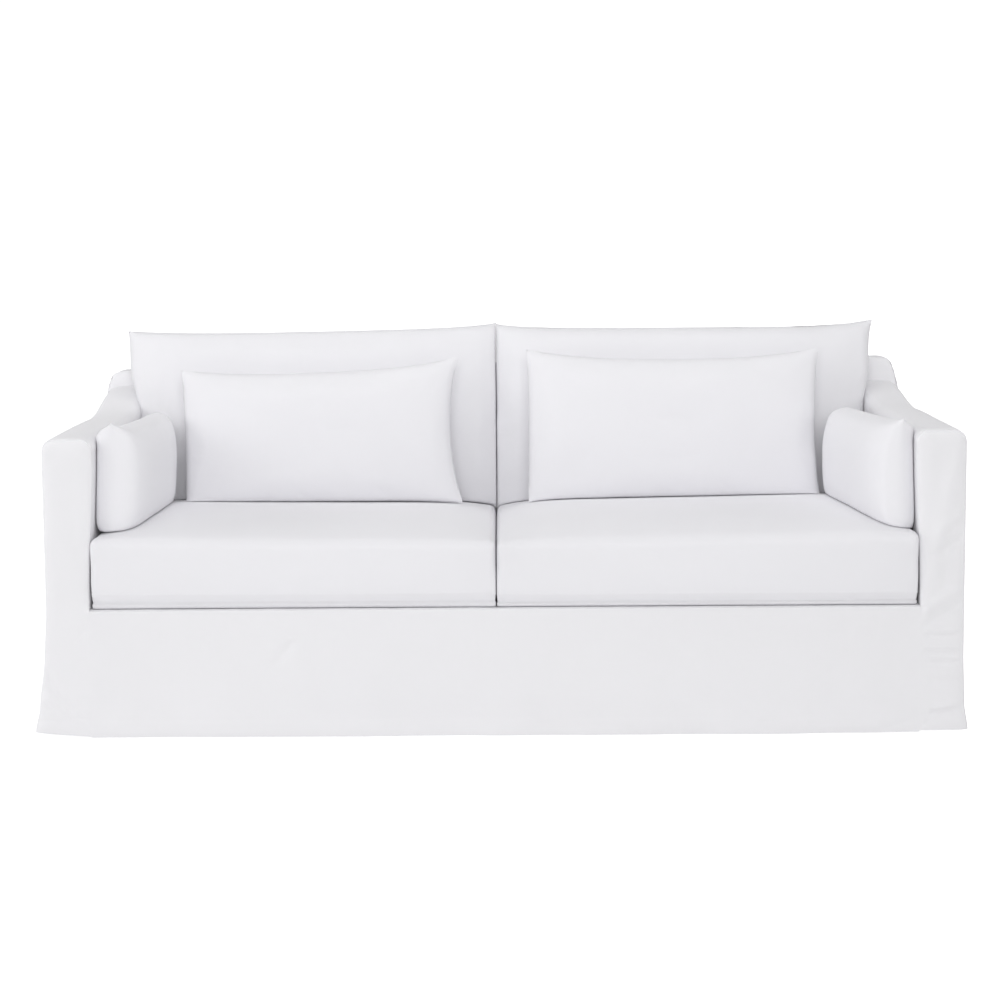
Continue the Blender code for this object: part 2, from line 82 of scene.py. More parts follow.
view = {
    "place": (-0.0036, -5.4068, 1.1364),
    "down": 6.79,          # degrees below level
    "roll": -0.35,
    "lens": 77.2,
    "sensor": 36,
}
studio = {
    "sky": 0.43,           # light from all round
    "white": 1.05,         # how bright the backdrop and the floor look to the camera
    "floorReach": 30,
    "floorDrop": 0.001,    # below the lowest hem
    "floorTone": 0.9,
}
lamps = {
    # place, what it points at, width, height, power in watts
    "front": ((0.0, -6.0, 2.2), (0.0, 0.0, 0.4), 3.0, 2.0, 111),
    "over": ((0.0, -0.3, 3.4), (0.0, 0.0, 0.0), 3.4, 2.0, 26),
    "left": ((-4.5, -0.5, 1.8), (0.0, 0.0, 0.4), 2.4, 2.0, 45),
    "right": ((4.5, -0.5, 1.8), (0.0, 0.0, 0.4), 2.4, 2.0, 26),
    "side": ((-3.6, -4.2, 2.5), (0.0, 0.0, 0.4), 2.6, 2.2, 20),
}


def makeCamera():
    data = bpy.data.cameras.new("camera")
    data.lens = view["lens"]
    data.sensor_width = view["sensor"]
    camera = bpy.data.objects.new("camera", data)
    bpy.context.scene.collection.objects.link(camera)
    tilt = Matrix.Rotation(math.radians(90 - view["down"]), 4, "X")
    roll = Matrix.Rotation(math.radians(view["roll"]), 4, "Z")
    camera.matrix_world = Matrix.Translation(view["place"]) @ tilt @ roll
    bpy.context.scene.camera = camera


def softLight(name):
    place, aim, width, height, power = lamps[name]
    data = bpy.data.lights.new(name, "AREA")
    data.shape = "RECTANGLE"
    data.size = width
    data.size_y = height
    data.energy = power
    light = bpy.data.objects.new(name, data)
    bpy.context.scene.collection.objects.link(light)
    light.location = place
    light.rotation_euler = (Vector(aim) - Vector(place)).to_track_quat("-Z", "Y").to_euler()


def seenByCamera(tree, socket, lit, seen):
    # one strength as light, another where the camera looks at it
    path = tree.nodes.new("ShaderNodeLightPath")
    strength = tree.nodes.new("ShaderNodeMix")
    strength.inputs["A"].default_value = lit
    strength.inputs["B"].default_value = seen
    tree.links.new(path.outputs["Is Camera Ray"], strength.inputs["Factor"])
    tree.links.new(strength.outputs["Result"], socket)


def makeStudio():
    world = bpy.data.worlds.new("studio")
    bpy.context.scene.world = world
    world.use_nodes = True
    back = world.node_tree.nodes["Background"]
    back.inputs["Color"].default_value = (1.0, 1.0, 1.0, 1.0)
    seenByCamera(world.node_tree, back.inputs["Strength"], studio["sky"], studio["white"])
    bm = bmesh.new()
    bmesh.ops.create_grid(bm, x_segments=1, y_segments=1, size=studio["floorReach"])
    bmesh.ops.translate(bm, verts=bm.verts, vec=(0, 0, cadBox[0][2] - studio["floorDrop"]))
    mesh = bpy.data.meshes.new("floor")
    bm.to_mesh(mesh)
    bm.free()
    floor = bpy.data.objects.new("floor", mesh)
    bpy.context.scene.collection.objects.link(floor)
    paint = bpy.data.materials.new("pale floor")
    paint.use_nodes = True
    shader = paint.node_tree.nodes["Principled BSDF"]
    shader.inputs["Base Color"].default_value = [studio["floorTone"]] * 3 + [1]
    shader.inputs["Roughness"].default_value = 0.9
    shader.inputs["Emission Color"].default_value = (1, 1, 1, 1)
    seenByCamera(paint.node_tree, shader.inputs["Emission Strength"], 0.0, studio["white"])
    mesh.materials.append(paint)
    for name in lamps:
        softLight(name)
    bpy.context.scene.view_settings.view_transform = "Standard"


makeCamera()
makeStudio()
print("camera and studio ready")


linenLook = {
    "threadPitch": 0.0011,     # metres from thread to thread
    "slubLength": 0.028,
    "slubWidth": 1.6,          # in threads
    "mottleSize": 0.16,
    "crumpleSize": 0.035,
    "shade": 0.02,             # how far its tone varies either way
    "threadHeight": 0.00025,
}
linenShine = {
    "Roughness": 0.92,
    "Specular IOR Level": 0.18,
    "Sheen Weight": 0.12,
    "Sheen Roughness": 0.5,
}


def linkedMath(tree, operation, a, b=None):
    node = tree.nodes.new("ShaderNodeMath")
    node.operation = operation
    for socket, value in zip(node.inputs, (a, b)):
        if value is None:
            continue
        if isinstance(value, (int, float)):
            socket.default_value = value
        else:
            tree.links.new(value, socket)
    return node.outputs[0]


def cloud(tree, vector, scale, detail):
    grain = tree.nodes.new("ShaderNodeTexNoise")
    grain.inputs["Scale"].default_value = scale
    grain.inputs["Detail"].default_value = detail
    tree.links.new(vector, grain.inputs["Vector"])
    return grain.outputs["Fac"]


def linenWeave():
    # plain weave: threads over and under each other, with slubs and faint uneven patches
    group = bpy.data.node_groups.new("linen weave", "ShaderNodeTree")
    ports = group.interface
    ports.new_socket("Cloth", in_out="INPUT", socket_type="NodeSocketVector")
    pitch = ports.new_socket("Pitch", in_out="INPUT", socket_type="NodeSocketFloat")
    pitch.default_value = linenLook["threadPitch"]
    for output in ("Threads", "Slubs", "Patches", "Crumple"):
        ports.new_socket(output, in_out="OUTPUT", socket_type="NodeSocketFloat")
    source = group.nodes.new("NodeGroupInput")
    result = group.nodes.new("NodeGroupOutput")
    split = group.nodes.new("ShaderNodeSeparateXYZ")
    group.links.new(source.outputs["Cloth"], split.inputs[0])
    turns = linkedMath(group, "DIVIDE", math.pi, source.outputs["Pitch"])
    weft = linkedMath(group, "SINE", linkedMath(group, "MULTIPLY", split.outputs["X"], turns))
    warp = linkedMath(group, "SINE", linkedMath(group, "MULTIPLY", split.outputs["Y"], turns))
    over = linkedMath(group, "MULTIPLY", weft, warp)
    weftRidge = linkedMath(group, "ABSOLUTE", weft)
    warpRidge = linkedMath(group, "ABSOLUTE", warp)
    ridges = linkedMath(group, "MULTIPLY", weftRidge, warpRidge)
    threads = linkedMath(group, "ADD", linkedMath(group, "MULTIPLY", over, 0.35), ridges)
    group.links.new(threads, result.inputs["Threads"])

    def streaks(stretch):
        place = group.nodes.new("ShaderNodeMapping")
        place.inputs["Scale"].default_value = stretch
        group.links.new(source.outputs["Cloth"], place.inputs["Vector"])
        return cloud(group, place.outputs["Vector"], 1.0, 1.5)

    long = 1 / linenLook["slubLength"]
    thin = 1 / (linenLook["slubWidth"] * linenLook["threadPitch"])
    both = linkedMath(group, "MAXIMUM", streaks((long, thin, long)), streaks((thin, long, long)))
    group.links.new(both, result.inputs["Slubs"])
    for output, size, detail in (("Patches", "mottleSize", 3.0), ("Crumple", "crumpleSize", 2.0)):
        grain = cloud(group, source.outputs["Cloth"], 1 / linenLook[size], detail)
        group.links.new(grain, result.inputs[output])
    return group


def bump(tree, height, distance, strength):
    node = tree.nodes.new("ShaderNodeBump")
    node.inputs["Distance"].default_value = distance
    node.inputs["Strength"].default_value = strength
    tree.links.new(height, node.inputs["Height"])
    return node


def linen(name, color, crumple):
    # one linen finish: pale cloth, a little darker between its threads
    cloth = bpy.data.materials.new(name)
    cloth.use_nodes = True
    tree = cloth.node_tree
    shader = tree.nodes["Principled BSDF"]
    for socket, value in linenShine.items():
        shader.inputs[socket].default_value = value
    uv = tree.nodes.new("ShaderNodeUVMap")
    uv.uv_map = "cloth"
    weave = tree.nodes.new("ShaderNodeGroup")
    weave.node_tree = weaveGroup
    weave.inputs["Pitch"].default_value = linenLook["threadPitch"]
    tree.links.new(uv.outputs["UV"], weave.inputs["Cloth"])
    ramp = tree.nodes.new("ShaderNodeMix")
    ramp.data_type = "RGBA"
    ramp.inputs["A"].default_value = [c * (1 - linenLook["shade"]) for c in color] + [1]
    ramp.inputs["B"].default_value = [min(1, c * (1 + linenLook["shade"])) for c in color] + [1]
    tone = linkedMath(tree, "MULTIPLY", weave.outputs["Patches"], 0.5)
    for output, share in (("Slubs", 0.3), ("Threads", 0.25)):
        tone = linkedMath(tree, "ADD", tone, linkedMath(tree, "MULTIPLY", weave.outputs[output], share))
    tree.links.new(tone, ramp.inputs["Factor"])
    tree.links.new(ramp.outputs["Result"], shader.inputs["Base Color"])
    height = linkedMath(tree, "ADD", weave.outputs["Threads"], weave.outputs["Slubs"])
    fine = bump(tree, height, linenLook["threadHeight"], 0.6)
    soft = bump(tree, weave.outputs["Crumple"], crumple, 0.8)
    tree.links.new(fine.outputs["Normal"], soft.inputs["Normal"])
    tree.links.new(soft.outputs["Normal"], shader.inputs["Normal"])
    return cloth


weaveGroup = linenWeave()
coverLinen = linen("cover linen", (0.862, 0.857, 0.878), 0.0012)
cushionLinen = linen("cushion linen", (0.858, 0.853, 0.880), 0.0010)
print("linen ready")


clothLook = {
    "wave": 0.0016,           # height and size of a panel's slow unevenness
    "waveSize": 0.30,
    "soft": 0.0005,           # and of its finer unevenness
    "softSize": 0.09,
    "pucker": 0.0005,         # height, length and distance of the puckers along a seam
    "puckerSize": 0.022,
    "puckerReach": 0.009,
    "calm": 0.045,            # how far from a seam the unevenness is full
    "creaseEnd": 0.016,       # how far from a seam the creases are full
}


def layThreads(bm, spots, seed):
    # the flat cut in metres is the piece's UV map, so the threads run as they were cut
    layer = bm.loops.layers.uv.new("cloth")
    for face in bm.faces:
        for loop in face.loops:
            across, along = spots[loop.vert]
            loop[layer].uv = (across + seed * 1.7, along + seed * 2.3)


def makeObject(name, bm):
    mesh = bpy.data.meshes.new(name)
    bm.to_mesh(mesh)
    bm.free()
    piece = bpy.data.objects.new(name, mesh)
    bpy.context.scene.collection.objects.link(piece)
    return piece


def bakeMesh(piece):
    graph = bpy.context.evaluated_depsgraph_get()
    mesh = bpy.data.meshes.new_from_object(piece.evaluated_get(graph))
    old = piece.data
    piece.modifiers.clear()
    piece.data = mesh
    bpy.data.meshes.remove(old)


def finishPiece(piece, material, node):
    piece.data.materials.clear()
    piece.data.materials.append(material)
    piece.data.shade_smooth()
    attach(piece, "root")
    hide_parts(node)
    made[node] = piece
    return piece


made = {}


def crease(across, up, marks):
    # sum of folds, each from one point to another: high above 0 is a ridge, below 0 a trough,
    # bow bends it sideways and step sets the cloth on its two sides at different heights
    total = 0.0
    for mark in marks:
        (x0, y0), (x1, y1) = mark["from"], mark["to"]
        length = math.hypot(x1 - x0, y1 - y0)
        dx, dy = (x1 - x0) / length, (y1 - y0) / length
        along = ((across - x0) * dx + (up - y0) * dy) / length
        if not -0.25 < along < 1.25:
            continue
        off = (up - y0) * dx - (across - x0) * dy - mark.get("bow", 0) * 4 * along * (1 - along)
        fade = smooth((along + 0.2) / 0.35) * smooth((1.2 - along) / 0.35)
        off /= mark["wide"]
        total += mark["high"] * math.exp(-off * off) * fade
        total += mark.get("step", 0) * math.tanh(off) * math.exp(-off * off / 9) * fade
    return total


def clothPanel(name, us, vs, place, facing, size, look=None, seams="lrtb", marks=()):
    # a cloth panel on place(u, v): waves over its middle, puckers along its sewn edges, then creases
    look = {**clothLook, **(look or {})}
    wide, tall = size
    columns, rows = len(us) - 1, len(vs) - 1
    bm = bmesh.new()
    bmesh.ops.create_grid(bm, x_segments=columns, y_segments=rows, size=0.5)
    spots = {}
    for vertex in bm.verts:
        i = round((vertex.co.x + 0.5) * columns)
        j = round((vertex.co.y + 0.5) * rows)
        spots[vertex] = (us[i], vs[j])
        vertex.co = place(us[i], vs[j])
    seed = sum(ord(letter) for letter in name) * 0.37
    layThreads(bm, {vertex: (u * wide, v * tall) for vertex, (u, v) in spots.items()}, seed)
    bm.normal_update()
    lean = sum((face.normal * face.calc_area() for face in bm.faces), Vector())
    if lean.dot(Vector(facing)) < 0:
        bmesh.ops.reverse_faces(bm, faces=bm.faces)
        bm.normal_update()
    moves = {}
    for vertex, (u, v) in spots.items():
        edges = {"l": (u * wide, v * tall), "r": ((1 - u) * wide, v * tall),
                 "b": (v * tall, u * wide), "t": ((1 - v) * tall, u * wide)}
        near = min(edges[side][0] for side in seams)
        hold = smooth(near / look["calm"])
        point = vertex.co
        high = hold * look["wave"] * noise.noise(point / look["waveSize"] + Vector((seed, 0, 0)))
        high += hold * look["soft"] * noise.noise(point / look["softSize"] + Vector((0, seed, 0)))
        for k, side in enumerate(seams):
            away, along = edges[side]
            reach = away / look["puckerReach"]
            if reach < 6:
                fade = reach * math.exp(1 - reach)
                high += look["pucker"] * ripple(along, look["puckerSize"], seed + k) * fade
        if marks:
            high += crease(point.x, point.z, marks) * smooth(near / look["creaseEnd"])
        moves[vertex] = vertex.normal * high
    for vertex, move in moves.items():
        vertex.co += move
    return bm


def sheetPiece(name, bm, cut):
    piece = finishPiece(makeObject(name + "_linen", bm), coverLinen, name)
    thick = piece.modifiers.new("cloth", "SOLIDIFY")
    thick.thickness = cover["cloth"]
    thick.offset = -1
    bakeMesh(piece)
    piece.data.set_sharp_from_angle(angle=math.radians(50))
    cut.get("area")


# the cover's form, in metres: x to the right, y to the back and z up from the floor
cover = {
    "cloth": 0.002,
    "gap": 0.0003,           # between panels that lie edge to edge
    "sewn": 0.0012,          # between a turned-back border and the panel sewn to it
    "front": -0.500,
    "back": 0.500,
    "deck": 0.299,
    "roll": 0.012,           # how far an upright panel's border turns back, and over what width
    "rollWidth": 0.030,
    "rollStart": 0.030,      # height above the deck in which an arm front's inner border starts to turn back
    "armCorner": 0.027,
    "backCorner": 0.024,
    "armSeam": 0.034,        # from the top down to the side seams
    "backSeam": 0.044,
    "swoop": (0.04, 0.58),   # where an arm's top starts to climb and where it would level off
    "armEnd": 0.37,          # where it meets the inside back
    "riseLength": 0.5,       # length over which it rises a little before that
    "dip": (0.005, 0.040),   # how much an arm's top drops at its very front, and over what length
    "backFoot": 0.245,
    "backLean": 0.2367,      # how far the inside back leans back in a metre of height
    "backHalf": 1.060,
    "hemOut": 1.080,
    "hemBand": 0.038,        # height of the turned-up hem
    "hemThick": 0.0007,
    "stitch": 0.0022,        # width of the line that its stitching draws in
    # how far out the cloth hangs at each height
    "heights": (0.0, 0.064, 0.180, 0.300, 0.720, 0.820),
    "left": (1.090, 1.079, 1.067, 1.061, 1.060, 1.047),
    "right": (1.086, 1.078, 1.0745, 1.074, 1.073, 1.055),
    "frontOut": (0.507, 0.503, 0.501, 0.500, 0.500, 0.500),
    "backOut": (0.508, 0.504, 0.501, 0.500, 0.500, 0.500),
    # length, height and start of each soft wave of the hanging cloth
    "waves": ((0.520, 0.0018, 0.4), (0.310, 0.0012, 1.9), (0.170, 0.0007, 0.9)),
}
arms = {
    "left": {"sign": -1, "front": 0.699, "rear": 0.768, "rise": 0.006, "deck": 0.959, "top": 0.944,
             "backTop": 0.803, "hemOuter": 0.011, "hemInner": 0.003},
    "right": {"sign": 1, "front": 0.709, "rear": 0.770, "rise": 0.009, "deck": 0.971, "top": 0.957,
              "backTop": 0.829, "hemOuter": 0.007, "hemInner": 0.006},
}


def outAt(z, column):
    heights, values = cover["heights"], cover[column]
    for k in range(len(heights) - 1):
        if z <= heights[k + 1]:
            break
    t = min(1.0, (z - heights[k]) / (heights[k + 1] - heights[k]))
    # eased between rows, so that the cloth hangs in one curve
    return mix(values[k], values[k + 1], mix(t, smooth(t), 0.6))


def wave(along, z):
    # soft waves of the skirt, none at the deck and full at the hem
    fall = 1 - smooth(z / cover["deck"])
    turn = math.tau * along
    return fall * sum(high * math.sin(turn / length + start) for length, high, start in cover["waves"])


def frontY(x, z):
    return -outAt(z, "frontOut") - wave(x, z)


def rearY(x, z):
    return outAt(z, "backOut") + wave(x + 0.7, z)


def outerX(side, y, z):
    sign = arms[side]["sign"]
    return sign * (outAt(z, side) + wave(y + sign, z))


def innerX(side, z):
    arm = arms[side]
    t = (z - cover["deck"]) / (arm["front"] - cover["deck"])
    return arm["sign"] * mix(arm["deck"], arm["top"], smooth(t))


def insideBackY(z):
    return cover["backFoot"] + (z - cover["deck"]) * cover["backLean"]


def armTopZ(side, y):
    # an arm's top runs nearly level, then swoops up to the back
    arm = arms[side]
    start, length = cover["swoop"][0], cover["swoop"][1] - cover["swoop"][0]
    deep, over = cover["dip"]
    level = arm["front"] + arm["rise"] * smooth((y - cover["front"]) / cover["riseLength"])
    climb = smooth((y - start) / length) / smooth((cover["armEnd"] - start) / length)
    dip = -deep * smooth((cover["front"] + over - y) / over)
    return level + dip + climb * (arm["rear"] - arm["front"] - arm["rise"])


def armLine(side, t, down, short=cover["gap"]):
    # where a line along the arm, so far down from its top, is at t from the arm's front to the back
    first = cover["front"] + cover["roll"] + cover["sewn"]
    y = mix(cover["front"], cover["backFoot"], t)
    for _ in range(12):
        z = armTopZ(side, y) - down
        y = mix(first, insideBackY(z) - short, t)
    return y, z


def sideSeamZ(side, t):
    return armLine(side, t, cover["armSeam"] + 2 * cover["gap"])[1]


def backTopZ(x):
    return mix(arms["left"]["backTop"], arms["right"]["backTop"], (x / cover["backHalf"] + 1) / 2)


def cornerCut(radius, distance):
    # how much lower a rounded corner is at this distance from the side
    inward = max(0.0, radius - distance)
    return radius - math.sqrt(max(0.0, radius ** 2 - inward ** 2))


def rollBack(distance):
    # how far a border is turned back at this distance from its edge
    e = min(1.0, max(0.0, 1 - distance / cover["rollWidth"]))
    return cover["roll"] * (1 - math.sqrt(1 - e * e))


def innerTurn(z):
    # how much of an arm front's inner border is turned back: none on the deck, all of it just above
    return smooth((z - cover["deck"]) / cover["rollStart"])


def hemRise(side, x):
    # the hem hangs a little off the floor, more so at the outer corners
    arm = arms[side]
    t = (abs(x) - arm["deck"]) / (cover["hemOut"] - arm["deck"])
    return mix(arm["hemInner"], arm["hemOuter"], min(1.0, max(0.0, t)))


def hemLip(height):
    # the turned-up hem is two layers thick, with its stitching drawn in just below the top
    stitch = (height - cover["hemBand"]) / cover["stitch"]
    layer = smooth((cover["hemBand"] + 0.003 - height) / 0.004)
    return cover["hemThick"] * (layer - math.exp(-stitch * stitch))


def turnedEdge(seam, radius, fallSteps, arcSteps):
    # inward and down from a side's top, for each point from the seam up and over the rounded corner
    fall = [(0.0, mix(seam, radius, k / fallSteps)) for k in range(fallSteps)]
    turn = [math.pi / 2 * k / arcSteps for k in range(arcSteps + 1)]
    return fall + [(radius * (1 - math.cos(a)), radius * (1 - math.sin(a))) for a in turn]


# a panel's cut: size is its rough width and height on the form, cells how fine its mesh is, crowd how much
# the cells crowd towards the borders, and flat, area and held say how the cloth is cut and how it hangs
armFrontCut = {
    "wide": 0.115,
    "cells": (0.0036, 0.0046),
    "crowd": (0.5, 0.15),
    "over": 0.003,            # how far its top stands over the arm's top
    "turned": 0.004,          # how far down from there it is turned back in full
    "spread": 0.7,            # less than 1 turns its inner border back more gently
    "look": {"soft": 0.0008, "softSize": 0.06},
    "flat": (0.16, 0.72),
    "held": "draped",
}
armFronts = {
    "left": [
        {"from": (-1.062, 0.150), "to": (-1.000, 0.058), "wide": 0.014, "high": -0.0050, "bow": -0.006},
        {"from": (-1.062, 0.098), "to": (-1.020, 0.050), "wide": 0.012, "high": 0.0035},
        {"from": (-0.995, 0.047), "to": (-0.905, 0.045), "wide": 0.005, "high": -0.0022},
        {"from": (-0.995, 0.034), "to": (-0.930, 0.032), "wide": 0.009, "high": 0.0016},
        {"from": (-0.992, 0.226), "to": (-0.962, 0.266), "wide": 0.006, "high": -0.0020},
        {"from": (-1.038, 0.262), "to": (-1.012, 0.263), "wide": 0.004, "high": -0.0012},
        {"from": (-1.066, 0.600), "to": (-1.050, 0.690), "wide": 0.012, "high": -0.0012},
        {"from": (-0.990, 0.560), "to": (-0.985, 0.400), "wide": 0.020, "high": -0.0016},
    ],
    "right": [
        {"from": (0.985, 0.330), "to": (1.050, 0.640), "wide": 0.022, "high": 0.0054, "step": 0.0016},
        {"from": (1.000, 0.415), "to": (1.064, 0.458), "wide": 0.012, "high": -0.0042},
        {"from": (1.004, 0.470), "to": (1.064, 0.520), "wide": 0.013, "high": 0.0038},
        {"from": (0.975, 0.286), "to": (1.056, 0.338), "wide": 0.012, "high": 0.0048},
        {"from": (0.990, 0.262), "to": (1.060, 0.300), "wide": 0.010, "high": -0.0035},
        {"from": (0.984, 0.231), "to": (1.058, 0.232), "wide": 0.005, "high": -0.0029},
        {"from": (0.982, 0.191), "to": (1.064, 0.190), "wide": 0.006, "high": -0.0035},
        {"from": (0.990, 0.166), "to": (1.064, 0.168), "wide": 0.005, "high": -0.0026},
        {"from": (1.000, 0.128), "to": (1.060, 0.122), "wide": 0.007, "high": -0.0016},
        {"from": (0.998, 0.046), "to": (1.050, 0.052), "wide": 0.006, "high": -0.0042},
        {"from": (1.004, 0.058), "to": (1.058, 0.068), "wide": 0.008, "high": 0.0035},
        {"from": (0.935, 0.010), "to": (0.990, 0.024), "wide": 0.007, "high": -0.0026},
    ],
}


def armFront(side):
    name = side + "_arm_front"
    cut, deck = armFrontCut, cover["deck"]
    top = armTopZ(side, cover["front"]) + cut["over"]

    def place(u, v):
        z = v * top
        outer, inner = outerX(side, cover["front"], z), innerX(side, max(z, deck))
        x = mix(inner, outer, u)
        fromTop = top - z
        near = min(abs(x - outer), abs(x - inner))
        if z > deck:
            z -= cornerCut(cover["armCorner"], near) * smooth(((z - deck) / (top - deck)) ** 2)
        else:
            z += hemRise(side, x) * (1 - z / deck)
        back = rollBack(abs(x - outer))
        back = max(back, rollBack(abs(x - inner) * cut["spread"]) * innerTurn(z))
        back = max(back, rollBack(fromTop - cut["turned"]))
        return Vector((x, frontY(x, z) + back - hemLip(z), z))

    us = steps(cut["wide"], cut["cells"][0], cut["crowd"][0])
    vs = steps(top, cut["cells"][1], cut["crowd"][1])
    size = (cut["wide"], top)
    bm = clothPanel(name, us, vs, place, (0, -1, 0), size, cut["look"], "lrt", armFronts[side])
    sheetPiece(name, bm, cut)


armTopCut = {
    "size": (0.86, 0.19),
    "cell": 0.0055,
    "crown": 0.002,           # how much its middle stands up
    "crownSteps": 12,
    "short": 0.0018,          # how far it ends in front of the inside back
    "look": {"wave": 0.0022, "waveSize": 0.2},
    "flat": (0.19, 0.88),
    "held": "draped",
}


def armTopSection():
    # across an arm's top: up and in from its outer seam, level over the middle, and down to the inner seam
    edge = turnedEdge(cover["armSeam"], cover["armCorner"], 3, 6)
    outer = [("outer", inward, down) for inward, down in edge]
    inner = [("inner", inward, down) for inward, down in reversed(edge)]
    count, high = armTopCut["crownSteps"], armTopCut["crown"]
    crown = [(k / count, 0.0, -high * math.sin(math.pi * k / count)) for k in range(1, count)]
    return outer + crown + inner


def armTop(side):
    name = side + "_arm_top"
    cut, section = armTopCut, armTopSection()

    def place(t, k):
        across, inward, down = section[round(k * (len(section) - 1))]
        y, z = armLine(side, t, down, cut["short"])
        outer, inner = outerX(side, y, z), innerX(side, z)
        into = math.copysign(1, inner - outer)
        if across == "outer":
            x = outer + into * inward
        elif across == "inner":
            x = inner - into * inward
        else:
            x = mix(outer + into * cover["armCorner"], inner - into * cover["armCorner"], across)
        return Vector((x, y, z))

    ks = [k / (len(section) - 1) for k in range(len(section))]
    us = steps(cut["size"][0], cut["cell"])
    bm = clothPanel(name, us, ks, place, (0, 0, 1), cut["size"], cut["look"])
    sheetPiece(name, bm, cut)


armInsideCut = {
    "size": (0.8, 0.38),
    "cells": (0.011, 0.010),
    "flat": (0.85, 0.44),
    "area": 0.33,
    "held": "hung",
}


def armInside(side):
    name = side + "_arm_inside"
    cut, bottom = armInsideCut, cover["deck"] - cover["cloth"]

    def place(t, v):
        z = mix(bottom, sideSeamZ(side, t), v)
        first = cover["front"] + cover["roll"] * innerTurn(z) + cover["sewn"]
        return Vector((innerX(side, z), mix(first, insideBackY(z) - cover["gap"], t), z))

    us, vs = (steps(length, cell) for length, cell in zip(cut["size"], cut["cells"]))
    bm = clothPanel(name, us, vs, place, (-arms[side]["sign"], 0, 0), cut["size"])
    sheetPiece(name, bm, cut)


armOutsideCut = {
    "size": (1.0, 0.72),
    "cell": 0.010,
    "armShare": 0.8,          # how much of its width is in front of the back
    "climb": 0.0004,          # share of its width in which its top climbs to the back's seam
    "look": {"wave": 0.0015, "waveSize": 0.34, "pucker": 0},
    "flat": (1.02, 0.80),
    "area": 0.74,
    "held": "hung",
}


def armOutside(side):
    # the outside of an arm with the end of the back, down to the hem
    name = side + "_arm_outside"
    cut, sign, deck = armOutsideCut, arms[side]["sign"], cover["deck"]
    share, climb = cut["armShare"], cut["climb"]
    inset = cover["roll"] + cover["sewn"]
    backSeam = backTopZ(sign * cover["backHalf"]) - cover["backSeam"]

    def place(u, v):
        if u <= share:
            top = sideSeamZ(side, u / share)
        else:
            top = mix(sideSeamZ(side, 1.0), backSeam, min(1.0, (u - share) / climb))
        z = v * top
        if z < deck:
            z += hemRise(side, cover["hemOut"]) * (1 - z / deck)
        start = frontY(outerX(side, cover["front"], z), z) + inset
        end = rearY(outerX(side, cover["back"], z), z) - inset
        turn = insideBackY(z) - cover["gap"]
        y = mix(start, turn, u / share) if u <= share else mix(turn, end, (u - share) / (1 - share))
        x = outerX(side, y, z)
        return Vector((x + sign * hemLip(z), y, z))

    us = [share * k for k in steps(share, cut["cell"])]
    us += [mix(share + climb, 1.0, k) for k in steps(1 - share, cut["cell"])]
    vs = steps(cut["size"][1], cut["cell"])
    bm = clothPanel(name, us, vs, place, (sign, 0, 0), cut["size"], cut["look"], "lrt")
    sheetPiece(name, bm, cut)


apronCut = {
    "wide": 1.93,
    "cells": (0.008, 0.0055),
    "corner": 0.005,          # radius over the deck's front edge
    "turned": 0.022,          # how far it reaches back over the deck
    "look": {"wave": 0.0022, "waveSize": 0.32},
    "flat": (1.93, 0.36),
    "held": "draped",
}
apronFolds = [
    {"from": (-0.485, 0.225), "to": (-0.530, 0.175), "wide": 0.011, "high": -0.0048},
    {"from": (-0.500, 0.250), "to": (-0.440, 0.110), "wide": 0.040, "high": 0.0022},
    {"from": (-0.420, 0.044), "to": (0.060, 0.036), "wide": 0.030, "high": -0.0022},
    {"from": (0.120, 0.200), "to": (0.105, 0.120), "wide": 0.012, "high": -0.0008},
    {"from": (0.420, 0.210), "to": (0.410, 0.130), "wide": 0.020, "high": -0.0008},
    {"from": (0.060, 0.020), "to": (0.240, 0.030), "wide": 0.018, "high": -0.0016},
    {"from": (0.480, 0.018), "to": (0.640, 0.022), "wide": 0.014, "high": -0.0014},
    {"from": (0.880, 0.012), "to": (0.960, 0.030), "wide": 0.008, "high": -0.0018},
]


def frontApron():
    # the front skirt, turned over at the top onto the deck
    cut, deck = apronCut, cover["deck"]
    radius = cut["corner"]
    upright = deck - radius
    around = radius * math.pi / 2
    total = upright + around + (cut["turned"] - radius)

    def place(u, v):
        walk = v * total
        if walk <= upright:
            inward, z = 0.0, walk
        elif walk <= upright + around:
            turn = (walk - upright) / radius
            inward, z = radius * (1 - math.cos(turn)), upright + radius * math.sin(turn)
        else:
            inward, z = radius + walk - upright - around, deck
        x = mix(innerX("left", deck), innerX("right", deck), u)
        rise = mix(arms["left"]["hemInner"], arms["right"]["hemInner"], u) * abs(2 * u - 1) ** 4
        z += rise * 0.5 * max(0.0, 1 - walk / upright)
        return Vector((x, frontY(x, z) + inward - hemLip(z) * (inward == 0), z))

    us, vs = steps(cut["wide"], cut["cells"][0]), steps(total, cut["cells"][1])
    size = (cut["wide"], total)
    bm = clothPanel("front_apron", us, vs, place, (0, -1, 0), size, cut["look"], "lrt", apronFolds)
    sheetPiece("front_apron", bm, cut)


deckCut = {
    "size": (1.93, 0.72),
    "cell": 0.03,
    "look": {"wave": 0, "soft": 0},
    "flat": (1.93, 0.74),
    "held": "stretched",
}


def seatDeck():
    cut, deck = deckCut, cover["deck"]

    def place(u, v):
        x = mix(innerX("left", deck) + cover["gap"], innerX("right", deck) - cover["gap"], u)
        first = cover["front"] + apronCut["turned"] + 2 * cover["gap"]
        last = insideBackY(deck - cover["cloth"]) - 2 * cover["gap"]
        return Vector((x, mix(first, last, v), deck))

    us, vs = (steps(length, cut["cell"]) for length in cut["size"])
    bm = clothPanel("seat_deck", us, vs, place, (0, 0, 1), cut["size"], cut["look"])
    sheetPiece("seat_deck", bm, cut)


